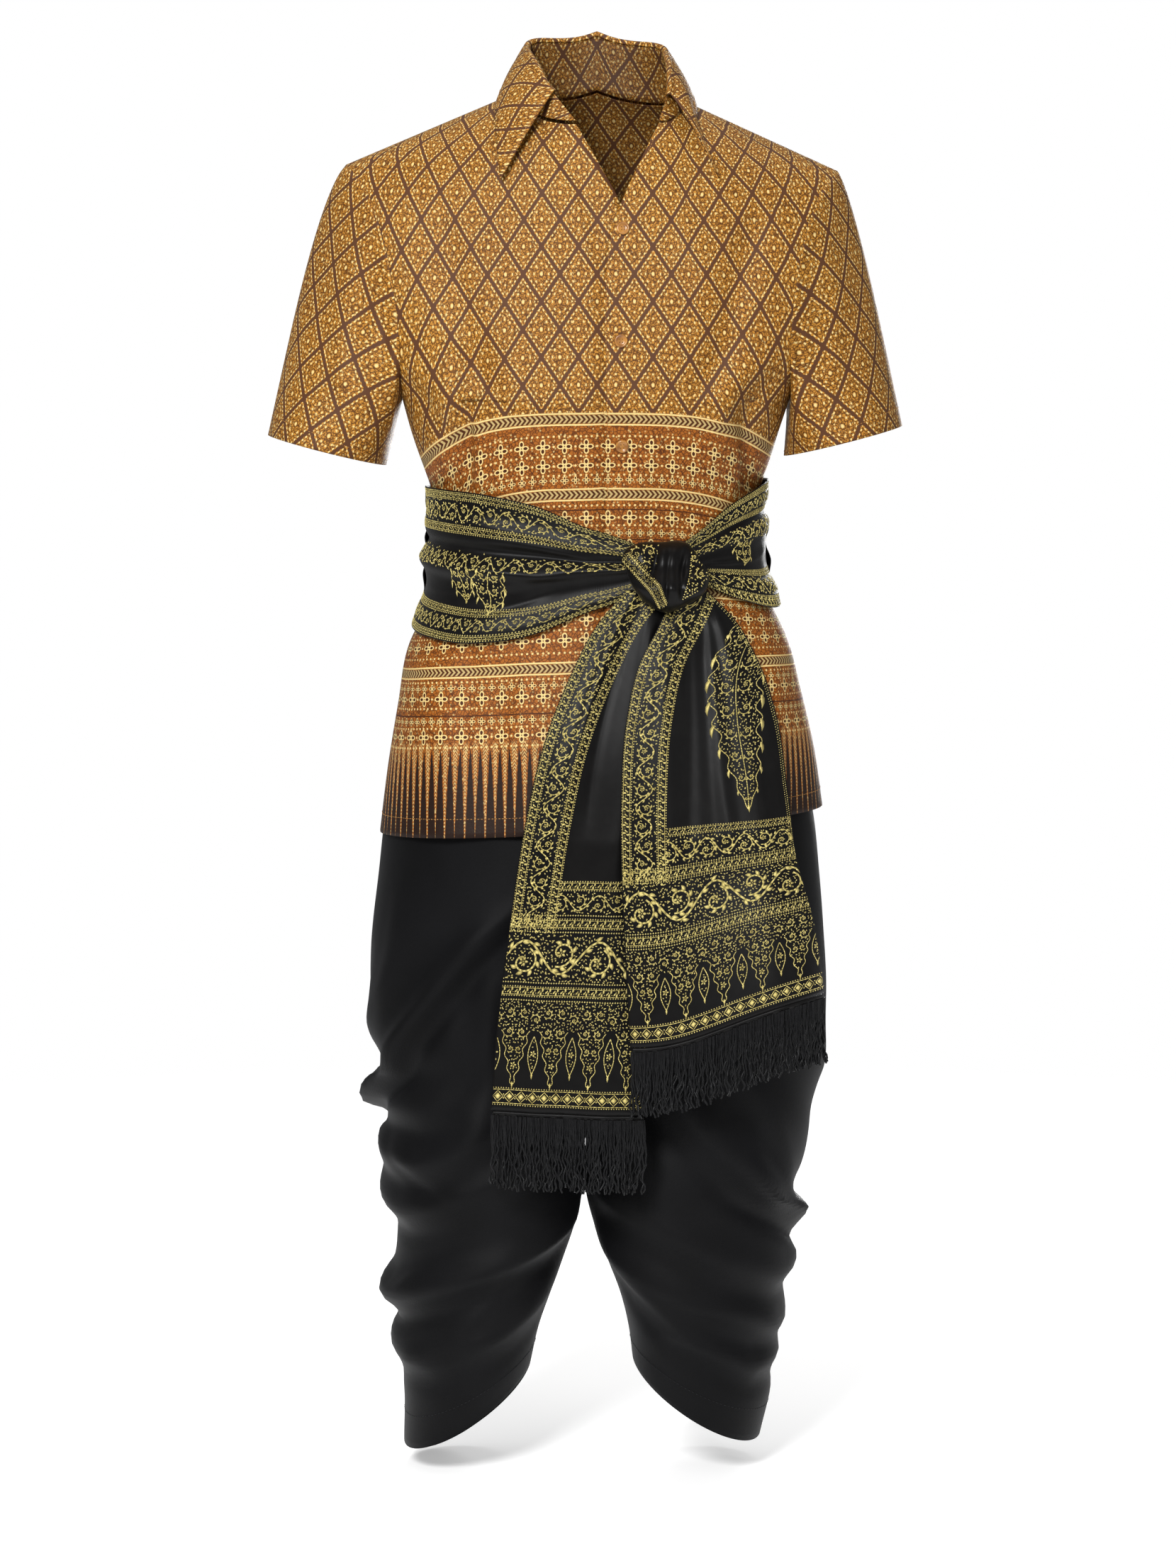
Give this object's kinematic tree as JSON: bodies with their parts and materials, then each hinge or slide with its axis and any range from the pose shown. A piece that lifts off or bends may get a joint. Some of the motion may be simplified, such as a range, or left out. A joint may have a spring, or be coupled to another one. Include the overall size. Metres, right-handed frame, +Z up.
{
  "type": "worn men's thai dress set of shirt, sash and draped trousers",
  "caption": "Hollow worn dress set: short-sleeved shirt with a collar, a sash wound and knotted at the waist with fringed hanging ends, and draped trousers that end below the knee.",
  "frame": {"origin": "in the middle of the neck, level with the neck ends of the shoulder seams, where the wearer's shoulders carry the shirt", "axes": "+Z up, -Y towards the front of the dress, +X towards the wearer's left"},
  "size_m": [0.5771, 0.3104, 1.3168],
  "materials": {
    "printed_cotton": "woven cotton with a soft sheen, golden brown, printed with a lattice of flowers and border bands",
    "trouser_cloth": "matt black cotton",
    "brocade": "black satin with pale gold brocade",
    "fringe_yarn": "black twisted yarn",
    "button": "golden brown, slightly glossy"
  },
  "bodies": {
    "root": {"shirt_front_right": "printed_cotton", "shirt_front_left": "printed_cotton", "shirt_back": "printed_cotton", "sleeve_right": "printed_cotton", "sleeve_left": "printed_cotton", "collar_stand": "printed_cotton", "collar_leaf": "printed_cotton", "button_1": "button", "button_2": "button", "button_3": "button", "button_4": "button", "button_5": "button", "trouser_leg_right": "trouser_cloth", "trouser_leg_left": "trouser_cloth", "trouser_waistband": "trouser_cloth", "trouser_back_tail": "trouser_cloth", "sash_front_right": "brocade", "sash_front_left": "brocade", "sash_back": "brocade", "sash_knot": "brocade", "sash_knot_band": "brocade", "sash_tail_right": "brocade", "sash_tail_left": "brocade", "sash_fringe_right": "fringe_yarn", "sash_fringe_left": "fringe_yarn"}
  },
  "joints": []
}
